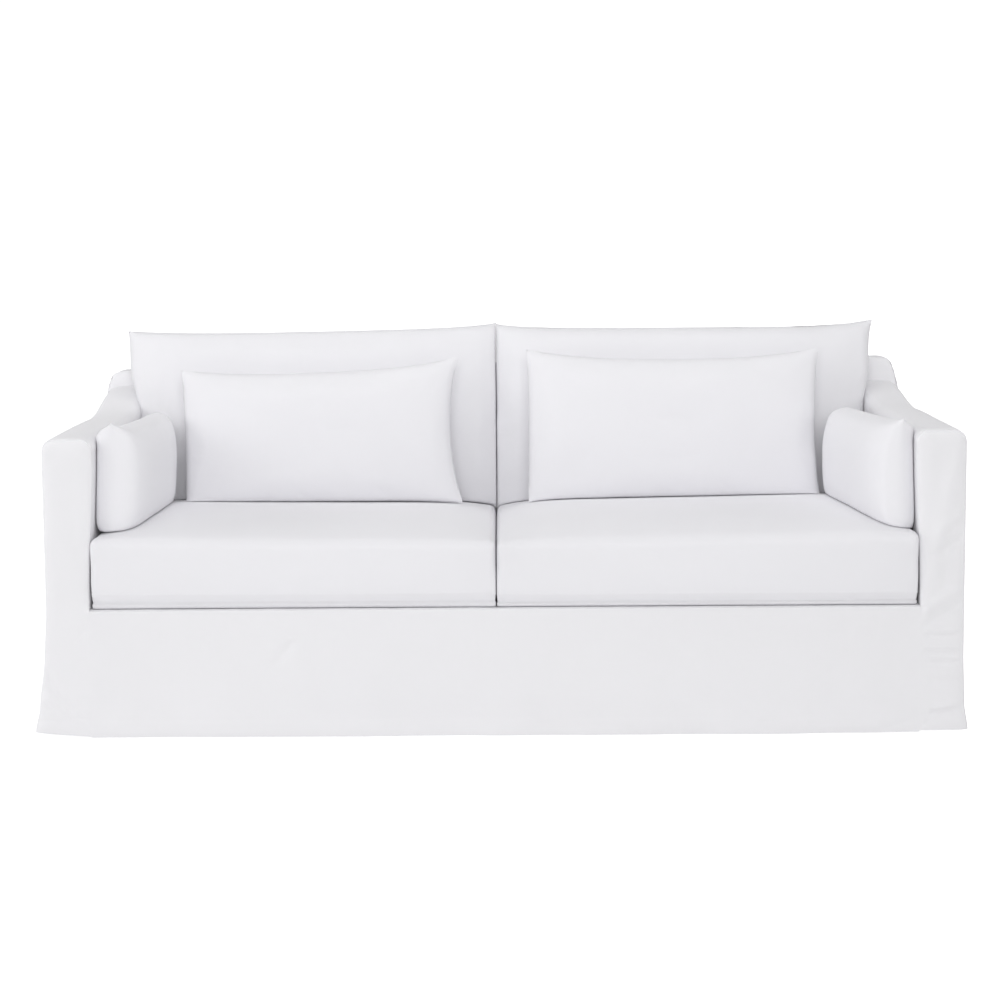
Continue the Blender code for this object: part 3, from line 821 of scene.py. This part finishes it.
insideBackCut = {
    "size": (2.0, 0.52),
    "cells": (0.012, 0.009),
    "crowd": (0.7, 0.6),
    "widens": 0.030,          # height in which it widens over the arms
    "flat": (2.12, 0.54),
    "area": 1.05,
    "held": "draped",
}


def insideBack():
    # between the arms below, and over their full width above them
    cut, half = insideBackCut, cover["backHalf"]

    def edge(side, z):
        arm = arms[side]
        wide = abs(outerX(side, 0, z)) - cover["cloth"] - cover["gap"]
        narrow = abs(innerX(side, z)) + cover["cloth"]
        over = smooth((z - arm["rear"] + cover["armSeam"] + cut["widens"]) / cut["widens"])
        return arm["sign"] * mix(narrow, wide, over)

    def place(u, v):
        top = backTopZ(mix(-half, half, u))
        z = mix(cover["deck"] - cover["cloth"], top, v)
        back = rollBack(top - z)
        near = min(u, 1 - u) * (edge("right", top) - edge("left", top))
        z -= cornerCut(cover["backCorner"], near) * smooth(2 * v - 1) ** 6
        x = mix(edge("left", z), edge("right", z), u)
        return Vector((x, insideBackY(z) + back, z))

    us, vs = (steps(*way) for way in zip(cut["size"], cut["cells"], cut["crowd"]))
    bm = clothPanel("inside_back", us, vs, place, (0, -1, 0), cut["size"])
    sheetPiece("inside_back", bm, cut)


outsideBackCut = {
    "size": (2.15, 0.82),
    "cells": (0.012, 0.0095),
    "crowd": (0.75, 0.6),
    "look": {"wave": 0.005, "waveSize": 0.4, "soft": 0.001},
    "flat": (2.18, 0.86),
    "held": "hung",
}


def outsideBack():
    cut, deck, half = outsideBackCut, cover["deck"], cover["backHalf"]

    def place(u, v):
        top = backTopZ(mix(-half, half, u))
        z = v * top
        near = min(u, 1 - u) * (outerX("right", cover["back"], z) - outerX("left", cover["back"], z))
        back = max(rollBack(near), rollBack(top - z))
        if z > deck:
            z -= cornerCut(cover["backCorner"], near) * smooth(((z - deck) / (top - deck)) ** 2)
        x = mix(outerX("left", cover["back"], z), outerX("right", cover["back"], z), u)
        return Vector((x, rearY(x, z) - back + hemLip(z), z))

    us, vs = (steps(*way) for way in zip(cut["size"], cut["cells"], cut["crowd"]))
    bm = clothPanel("outside_back", us, vs, place, (0, 1, 0), cut["size"], cut["look"], "lrt")
    sheetPiece("outside_back", bm, cut)


backTopCut = {
    "size": (2.2, 0.12),
    "cells": (0.012, 0.008),
    "tuck": 0.010,            # height in which its ends pass under the inside back's border
    "flat": (2.20, 0.13),
    "held": "draped",
}


def backTopStrip():
    # along the top of the back, turned down over both of its ends
    cut, radius, half = backTopCut, cover["backCorner"], cover["backHalf"]
    ends = turnedEdge(cover["backSeam"], radius, 2, 7)
    middle = [(None, t) for t in steps(2 * (half - radius), cut["cells"][0])[1:-1]]
    section = [("left", *p) for p in ends] + middle + [("right", *p) for p in reversed(ends)]
    flatEnd = half - radius

    def place(k, v):
        spot = section[round(k * (len(section) - 1))]
        if spot[0] is None:
            x = mix(-flatEnd, flatEnd, spot[1])
            z = backTopZ(x)
            below = 0.0
        else:
            side, inward, down = spot
            sign = arms[side]["sign"]
            z = backTopZ(sign * half) - down
            x = outerX(side, 0.4, z) - sign * inward
            below = smooth((down - radius) / cut["tuck"])
        first = insideBackY(z) + mix(cover["roll"] + cover["sewn"], -cover["gap"], below)
        last = cover["back"] - cover["roll"] - cover["sewn"]
        return Vector((x, mix(first, last, v), z))

    ks = [k / (len(section) - 1) for k in range(len(section))]
    vs = steps(cut["size"][1], cut["cells"][1])
    bm = clothPanel("back_top_strip", ks, vs, place, (0, 0, 1), cut["size"])
    sheetPiece("back_top_strip", bm, cut)


for side in arms:
    armFront(side)
    armTop(side)
    armInside(side)
    armOutside(side)
frontApron()
seatDeck()
insideBack()
outsideBack()
backTopStrip()
print("cover sewn")


filling = {
    "steps": 11,            # frames of cloth simulation
    "pressure": 5.0,
    "seatPressure": 2.5,
    "soft": 0.0045,         # metres over which a cushion flattens onto what carries it
    "gap": 0.0008,
    "intoArm": 0.010,       # how far a side pillow is pushed into its arm before it is flattened there
    "seatSwell": 0.20,      # how much of a seat's simulated swelling is kept
    "seatRise": 0.06,       # and of its change in height
}
pillowEdge = {
    "crease": 0.75,         # how sharp the seam stays when the mesh is made finer
    "folds": 0.0022,        # height and reach of the small folds that run out of a corner
    "foldReach": 0.045,
    "pucker": 0.0006,       # height, length and distance of the puckers along the seam
    "puckerSize": 0.030,
    "puckerReach": 0.010,
}
pillows = {
    # size: along the pillow, upward and through it
    # lean, turn and toe in degrees, toe being its turn away from the arm
    # shift: moved from the solid's place, in metres
    # pull: how far its left, right, lower and upper edges are drawn in between the corners, and the
    # power of the last two
    # power: how square its fullness is along and upward; taper: how much thinner its far end is
    # blunt: how bluntly it swells from its seam, a half being round
    # ears: how far each corner (left low, right low, left high, right high) is drawn in, in metres
    # cell: how fine its mesh is; fill: how full its case is
    # even: how much of its fullness is even, the rest being as the filling simulation leaves it
    # flare: how far its outer upper corner stands out over the arm
    # until: the plane on which it meets its neighbour; on and against: what carries it and what it leans on
    "left_back_cushion": {
        "size": (0.9715, 0.505, 0.230), "lean": 13.3, "turn": -0.9, "shift": (0.006, 0, 0.007),
        "pull": (0.004, 0.003, 0.02, 0.034, 3), "power": (7.0, 4.0), "blunt": 0.5, "taper": 0,
        "ears": (0.008, 0.004, -0.003, -0.008), "cell": 0.0125, "fill": 0.8, "even": 0.6,
        "flare": 0.020, "until": -0.0124, "on": ["left_seat_cushion"], "against": ["inside_back"]},
    "right_back_cushion": {
        "size": (0.9985, 0.515, 0.230), "lean": 13.3, "turn": 0.0, "shift": (-0.015, 0, 0.006),
        "pull": (0.003, 0.004, 0.02, 0.034, 5), "power": (7.0, 4.0), "blunt": 0.5, "taper": 0,
        "ears": (0.004, 0.008, -0.010, -0.011), "cell": 0.0125, "fill": 0.8, "even": 0.6,
        "flare": 0.014, "until": -0.0116, "on": ["right_seat_cushion"], "against": ["inside_back"]},
    "left_lumbar_pillow": {
        "size": (0.706, 0.376, 0.150), "lean": 13.0, "turn": -2.2, "shift": (-0.002, 0, 0.007),
        "pull": (0.010, 0.070, 0.012, 0.110, 2.6), "power": (2.6, 2.4), "blunt": 0.55, "taper": 0,
        "ears": (0.002, 0.000, -0.002, -0.008), "cell": 0.0100, "fill": 0.7, "even": 0.5,
        "on": ["left_seat_cushion"], "against": ["left_back_cushion"]},
    "right_lumbar_pillow": {
        "size": (0.746, 0.405, 0.150), "lean": 13.0, "turn": 0.0, "shift": (0.003, 0, 0.012),
        "pull": (0.008, 0.030, 0.012, 0.130, 2.6), "power": (2.6, 2.4), "blunt": 0.55, "taper": 0,
        "ears": (0.002, 0.002, -0.002, -0.003), "cell": 0.0100, "fill": 0.7, "even": 0.5,
        "on": ["right_seat_cushion"], "against": ["right_back_cushion"]},
    "left_side_pillow": {
        "size": (0.530, 0.276, 0.148), "lean": -1.7, "toe": 3.2, "shift": (-0.004, 0, 0.004),
        "pull": (0.010, 0.010, 0.004, 0.115, 5), "power": (10.0, 4.0), "blunt": 0.55, "taper": 0.20,
        "ears": (0.016, 0.012, -0.004, 0.016), "cell": 0.0085, "fill": 0.85, "even": 0.8,
        "on": ["left_seat_cushion"], "against": ["left_arm_inside", "left_arm_top"]},
    "right_side_pillow": {
        "size": (0.560, 0.284, 0.160), "lean": -1.0, "toe": 6.5, "shift": (0.004, 0, -0.011),
        "pull": (0.010, 0.010, 0.004, 0.060, 4), "power": (6.0, 3.0), "blunt": 0.55, "taper": 0.12,
        "ears": (0.016, 0.030, -0.002, 0.036), "cell": 0.0085, "fill": 0.85, "even": 0.8,
        "on": ["right_seat_cushion"], "against": ["right_arm_inside", "right_arm_top"]},
}
seatForm = {
    "cells": (78, 62, 20),  # of its mesh: across, deep and high
    # radii of its upper and lower edges: across, deep and high
    "upper": (0.008, 0.030, 0.022),
    "lower": (0.004, 0.004, 0.005),
    "bow": (0.001, 0.008),  # how much its ends and its front swell outward at half height
    "undercut": 0.027,      # how much further back its front stands at the bottom than at the top
    "seamProud": 0.0016,    # how far the low seam stands out, and how deep the line under it is
    "seamLine": 0.0014,
    "tuck": 0.009,          # how far the cloth under the seam is drawn in
    "fill": 0.75,
}
seats = {
    # edge: height of its sides; crown: height above them; tilt: how much higher its right end is
    # ends: where they touch their neighbours; seam: height of the low seam
    "left_seat_cushion": {
        "edge": 0.166, "crown": 0.031, "tilt": -0.005, "ends": (-0.9538, -0.0139), "seam": 0.034},
    "right_seat_cushion": {
        "edge": 0.169, "crown": 0.037, "tilt": 0.008, "ends": (-0.0131, 0.9660), "seam": 0.031},
}


def pillowShell(node):
    # two cut panels sewn edge to edge, nearly flat
    pillow = pillows[node]
    wide, tall, thick = pillow["size"]
    columns, rows = round(wide / pillow["cell"]), round(tall / pillow["cell"])
    seed = sum(ord(letter) for letter in node) * 0.41
    shell = bmesh.new()
    for way in (-1, 1):
        bm = bmesh.new()
        bmesh.ops.create_grid(bm, x_segments=columns, y_segments=rows, size=1)
        spots = {}
        for vertex in bm.verts:
            u, v = vertex.co.x, vertex.co.y
            spots[vertex] = (u * wide / 2, v * tall / 2)
            full = math.sqrt(max(0.0, (1 - u ** 4) * (1 - v ** 4)))
            uneven = 1 + 0.5 * noise.noise(Vector((u * 3, v * 2, seed + way)))
            vertex.co = Vector((u * wide / 2, way * 0.02 * full * uneven, v * tall / 2))
        layThreads(bm, spots, seed + way)
        if way > 0:
            bmesh.ops.reverse_faces(bm, faces=bm.faces)
        panel = bpy.data.meshes.new("panel")
        bm.to_mesh(panel)
        bm.free()
        shell.from_mesh(panel)
        bpy.data.meshes.remove(panel)
    bmesh.ops.remove_doubles(shell, verts=shell.verts, dist=0.00002)
    if shell.calc_volume(signed=True) < 0:
        bmesh.ops.reverse_faces(shell, faces=shell.faces)
    seam = shell.edges.layers.float.new("crease_edge")
    for edge in shell.edges:
        ends = [(abs(v.co.x) > wide / 2 - 0.0001, abs(v.co.z) > tall / 2 - 0.0001) for v in edge.verts]
        if (ends[0][0] and ends[1][0]) or (ends[0][1] and ends[1][1]):
            edge[seam] = pillowEdge["crease"]
    return makeObject(node + "_linen", shell)


def seatShell(node):
    # a boxed cushion with a rounded upper edge that runs over its front without a seam
    seat = seats[node]
    upper, lower = Vector(seatForm["upper"]), Vector(seatForm["lower"])
    low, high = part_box(node)
    half = Vector(((high.x - low.x) / 2, (high.y - low.y) / 2, seat["edge"] / 2))
    middle = Vector(((low.x + high.x) / 2, (low.y + high.y) / 2, low.z + half.z))
    bm = bmesh.new()
    bmesh.ops.create_cube(bm, size=2)
    for axis, cells in enumerate(seatForm["cells"]):
        along = [e for e in bm.edges if abs((e.verts[0].co - e.verts[1].co).normalized()[axis]) > 0.99]
        bmesh.ops.subdivide_edges(bm, edges=along, cuts=cells - 1, use_grid_fill=True)
    bm.normal_update()
    layer = bm.loops.layers.uv.new("cloth")
    for face in bm.faces:
        a, b, c = (abs(x) for x in face.normal)
        across, along = (1, 2) if a > 0.9 else ((0, 2) if b > 0.9 else (0, 1))
        for loop in face.loops:
            flat = loop.vert.co * half
            loop[layer].uv = (flat[across] + 3.1 * middle.x, flat[along] + 1.3 * c)
    for vertex in bm.verts:
        w = vertex.co.z
        # rows crowd about the seam low on the sides, and columns towards the edges
        w = w - 0.18 * math.sin(math.pi * (w + 1)) * (1 - w) / 2
        edge = upper.lerp(lower, smooth((0.3 - w) / 0.6))
        u, v = (math.sin(math.pi / 2 * c) * 0.35 + c * 0.65 for c in vertex.co.xy)
        full = Vector((u * half.x, v * half.y, w * half.z))
        core = Vector([min(h - r, max(r - h, c)) for c, h, r in zip(full, half, edge)])
        out = Vector([(f - c) / r for f, c, r in zip(full, core, edge)])
        out = out.normalized() * max(abs(c) for c in out)
        point = core + Vector([c * r for c, r in zip(out, edge)])
        fullness = (1 - abs(u) ** 8) * (1 - abs(v) ** 3)
        if w > 0:
            point.z += (seat["crown"] * fullness + seat["tilt"] * u) * w
        point.x += math.copysign(seatForm["bow"][0], u) * abs(u) ** 4 * (1 - w * w) * (1 - v * v)
        point.y += math.copysign(seatForm["bow"][1], v) * abs(v) ** 4 * (1 - w * w) * (1 - u ** 4)
        point.y += seatForm["undercut"] * max(0.0, -v) * (1 - w) / 2
        vertex.co = point + middle
    return makeObject(node + "_linen", bm)


def fillAll(shells):
    # cloth under a little pressure from inside, all pieces stepped together
    for node, piece in shells.items():
        cloth = piece.modifiers.new("filling", "CLOTH")
        cloth.collision_settings.use_collision = False
        cloth.point_cache.frame_start = 1
        cloth.point_cache.frame_end = filling["steps"]
        feel = cloth.settings
        feel.quality = 6
        feel.mass = 0.3
        feel.tension_stiffness = feel.compression_stiffness = 40
        feel.shear_stiffness = 20
        feel.bending_stiffness = 2.0
        feel.tension_damping = feel.compression_damping = 10
        feel.air_damping = 5
        feel.use_pressure = True
        feel.uniform_pressure_force = filling["pressure" if node in pillows else "seatPressure"]
        feel.effector_weights.gravity = 0
    for step in range(1, filling["steps"] + 1):
        bpy.context.scene.frame_set(step)
    for piece in shells.values():
        bakeMesh(piece)
    bpy.context.scene.frame_set(1)


def seamRelief(u, v, aside, above, along, seed):
    # small folds that run out of a pillow's corners, and puckers along its seam
    reach, inside = math.hypot(aside, above), min(aside, above)
    folds = math.sin(9 * math.atan2(above, aside) + 2 * u + v)
    folds *= smooth(reach / 0.012) * math.exp(-reach / pillowEdge["foldReach"])
    away = inside / pillowEdge["puckerReach"]
    puckers = ripple(along, pillowEdge["puckerSize"], seed) * away * math.exp(1 - away)
    relief = pillowEdge["folds"] * folds + pillowEdge["pucker"] * puckers
    return relief * min(1.0, inside / 0.006)


def plump(node, piece, starts):
    # trues the filled shell to the pillow's own outline, with part of its fullness made even
    pillow = pillows[node]
    wide, tall, thick = pillow["size"]
    along, upward = pillow["power"]
    pullLeft, pullRight, pullLow, pullHigh, turned = pillow["pull"]
    leftLow, rightLow, leftHigh, rightHigh = pillow["ears"]
    places = [(round(p.x / wide * 2, 4), round(p.z / tall * 2, 4)) for p in starts]
    points = [vertex.co.copy() for vertex in piece.data.vertices]
    sides = {(u, v): p.x for (u, v), p in zip(places, points) if abs(u) == 1}
    ends = {(u, v): p.z for (u, v), p in zip(places, points) if abs(v) == 1}
    deepest = max(abs(p.y) for p in points)
    even = 0.5 + pillow["even"] / 2
    for vertex, (u, v), p in zip(piece.data.vertices, places, points):
        left, right = sides[(-1, v)], sides[(1, v)]
        bottom, top = ends[(u, -1)], ends[(u, 1)]
        upright, level = wide / 2 * (1 - abs(v) ** 2), tall / 2 * (1 - abs(u) ** turned)
        across = mix((p.x - left) / (right - left), (u + 1) / 2, even)
        up = mix((p.z - bottom) / (top - bottom), (v + 1) / 2, even)
        x = mix(pullLeft * upright - wide / 2, wide / 2 - pullRight * upright, across)
        z = mix(pullLow * level - tall / 2, tall / 2 - pullHigh * level, up)
        full = max(0.0, (1 - abs(u) ** along) * (1 - abs(v) ** upward)) ** pillow["blunt"]
        full = math.copysign(full * (1 - pillow["taper"] * (u + 1) ** 2 / 4), p.y)
        aside, above = (1 - abs(u)) * wide / 2, (1 - abs(v)) * tall / 2
        uneven = (1 - pillow["even"]) * smooth(min(aside, above) / 0.05)
        y = mix(full, p.y / deepest, uneven) * thick / 2
        relief = seamRelief(u, v, aside, above, p.x + p.z, wide * 50)
        draw = mix(mix(leftLow, rightLow, (u + 1) / 2), mix(leftHigh, rightHigh, (u + 1) / 2), (v + 1) / 2)
        draw *= abs(u * v) ** 9
        x -= math.copysign(1, u) * draw
        z -= math.copysign(1, v) * draw
        vertex.co = Vector((x, y + math.copysign(relief, p.y), z))


def extent(piece):
    points = [vertex.co for vertex in piece.data.vertices]
    return [Vector([choose(p[k] for p in points) for k in range(3)]) for choose in (min, max)]


def fitBetween(piece, low, high):
    first, last = extent(piece)
    for vertex in piece.data.vertices:
        share = [(vertex.co[k] - first[k]) / (last[k] - first[k]) for k in range(3)]
        vertex.co = Vector([mix(low[k], high[k], share[k]) for k in range(3)])


def outerFaces(nodes):
    graph = bpy.context.evaluated_depsgraph_get()
    trees = []
    for node in nodes:
        bm = bmesh.new()
        bm.from_object(made[node], graph)
        trees.append(BVHTree.FromBMesh(bm))
        bm.free()
    return trees


def press(piece, nodes, way, far=0.30):
    # flattens the piece softly where it reaches its neighbours, which are looked for from so far behind
    way = Vector(way).normalized()
    soft, trees = filling["soft"], outerFaces(nodes)
    for vertex in piece.data.vertices:
        start = vertex.co - way * far
        hits = [tree.ray_cast(start, way, far + 4 * soft) for tree in trees]
        hits = [hit for hit in hits if hit[0] is not None]
        if hits:
            nearest = min(hits, key=lambda hit: hit[3])
            room = (nearest[3] - far) / soft
            kept = soft * (room if room > 12 else math.log1p(math.exp(room))) + filling["gap"]
            vertex.co = nearest[0] - way * kept


def meet(piece, axis, sign, limit, soft=0.002):
    # flattens the piece softly on a plane, keeping what lies beyond the limit in the sign's direction
    for vertex in piece.data.vertices:
        room = (vertex.co[axis] * sign - limit) / soft
        vertex.co[axis] = sign * (limit + soft * (room if room > 12 else math.log1p(math.exp(room))))


def placePillow(node, piece):
    # a back or lumbar pillow leans back against its neighbour, and a side pillow stands along its arm
    pillow = pillows[node]
    byArm = "toe" in pillow
    low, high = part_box(node)
    outward = math.copysign(1, low.x + high.x)
    if byArm:
        turn = Matrix.Rotation(math.radians(outward * pillow["lean"]), 4, "Y")
        turn = turn @ Matrix.Rotation(math.pi / 2 + math.radians(outward * pillow["toe"]), 4, "Z")
    else:
        turn = Matrix.Rotation(-math.radians(pillow["lean"]), 4, "X")
        turn = turn @ Matrix.Rotation(math.radians(pillow["turn"]), 4, "Y")
    piece.data.transform(turn)
    first, last = extent(piece)
    move = Vector(((low.x + high.x - first.x - last.x) / 2, low.y - first.y, high.z - last.z))
    if byArm:
        move.y = (low.y + high.y - first.y - last.y) / 2
        move.x = outward * (abs(low.x + high.x) / 2 + filling["intoArm"]) - (first.x + last.x) / 2
    if "flare" in pillow:
        move.x -= outward * pillow["flare"] / 2
        for vertex in piece.data.vertices:
            reach = max(0.0, outward * vertex.co.x / (pillow["size"][0] / 2))
            vertex.co.x += outward * pillow["flare"] * reach ** 4 * smooth((vertex.co.z - 0.04) / 0.10)
    piece.data.transform(Matrix.Translation(move + Vector(pillow["shift"])))
    if "until" in pillow:
        meet(piece, 0, outward, outward * pillow["until"])
    press(piece, pillow["on"], (0, 0, -1))
    press(piece, pillow["against"], (outward, 0, 0) if byArm else (0, 1, 0))


def finerMesh(piece):
    finer = piece.modifiers.new("finer", "SUBSURF")
    finer.levels = finer.render_levels = 1
    bakeMesh(piece)


def seatSeam(node, piece):
    # the seam that joins the seat's sides to its underside, proud of the cloth with a shadow line under it
    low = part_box(node)[0]
    normals = [vertex.normal.copy() for vertex in piece.data.vertices]
    for vertex, normal in zip(piece.data.vertices, normals):
        up = vertex.co.z - low.z - seats[node]["seam"]
        flat = Vector((normal.x, normal.y, 0))
        if abs(up) < 0.02 and flat.length > 0.5:
            lift = seatForm["seamProud"] * math.exp(-(up / 0.0024) ** 2)
            lift -= seatForm["seamLine"] * math.exp(-((up + 0.005) / 0.0035) ** 2)
            lift -= seatForm["tuck"] * smooth(-up / 0.026)
            flat.x *= 0.3
            vertex.co += flat * lift


def setSeat(node, piece, starts):
    # keeps part of the seat's swelling, and flattens its ends where they touch their neighbours
    low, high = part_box(node)
    for vertex, start in zip(piece.data.vertices, starts):
        swollen = start.lerp(vertex.co, filling["seatSwell"])
        rise = filling["seatRise"] * smooth((start.z - low.z) / 0.12)
        swollen.z = mix(start.z, vertex.co.z, rise)
        vertex.co = swollen
    spare = Vector((0.006, 0, 0))
    fitBetween(piece, low - spare, high + spare)
    first, last = seats[node]["ends"]
    meet(piece, 0, 1, first, 0.001)
    meet(piece, 0, -1, -last, 0.001)
    finerMesh(piece)
    seatSeam(node, piece)
    finishPiece(piece, cushionLinen, node)


def setPillow(node, piece, starts):
    plump(node, piece, starts)
    placePillow(node, piece)
    finerMesh(piece)
    piece.data.set_sharp_from_angle(angle=math.radians(70))
    finishPiece(piece, cushionLinen, node)


shells = {node: seatShell(node) for node in seats}
shells.update({node: pillowShell(node) for node in pillows})
starts = {node: [vertex.co.copy() for vertex in shells[node].data.vertices] for node in shells}
fillAll(shells)
print("cushions filled")
for node in seats:
    setSeat(node, shells[node], starts[node])
for node in pillows:
    setPillow(node, shells[node], starts[node])
print("cushions set in place")
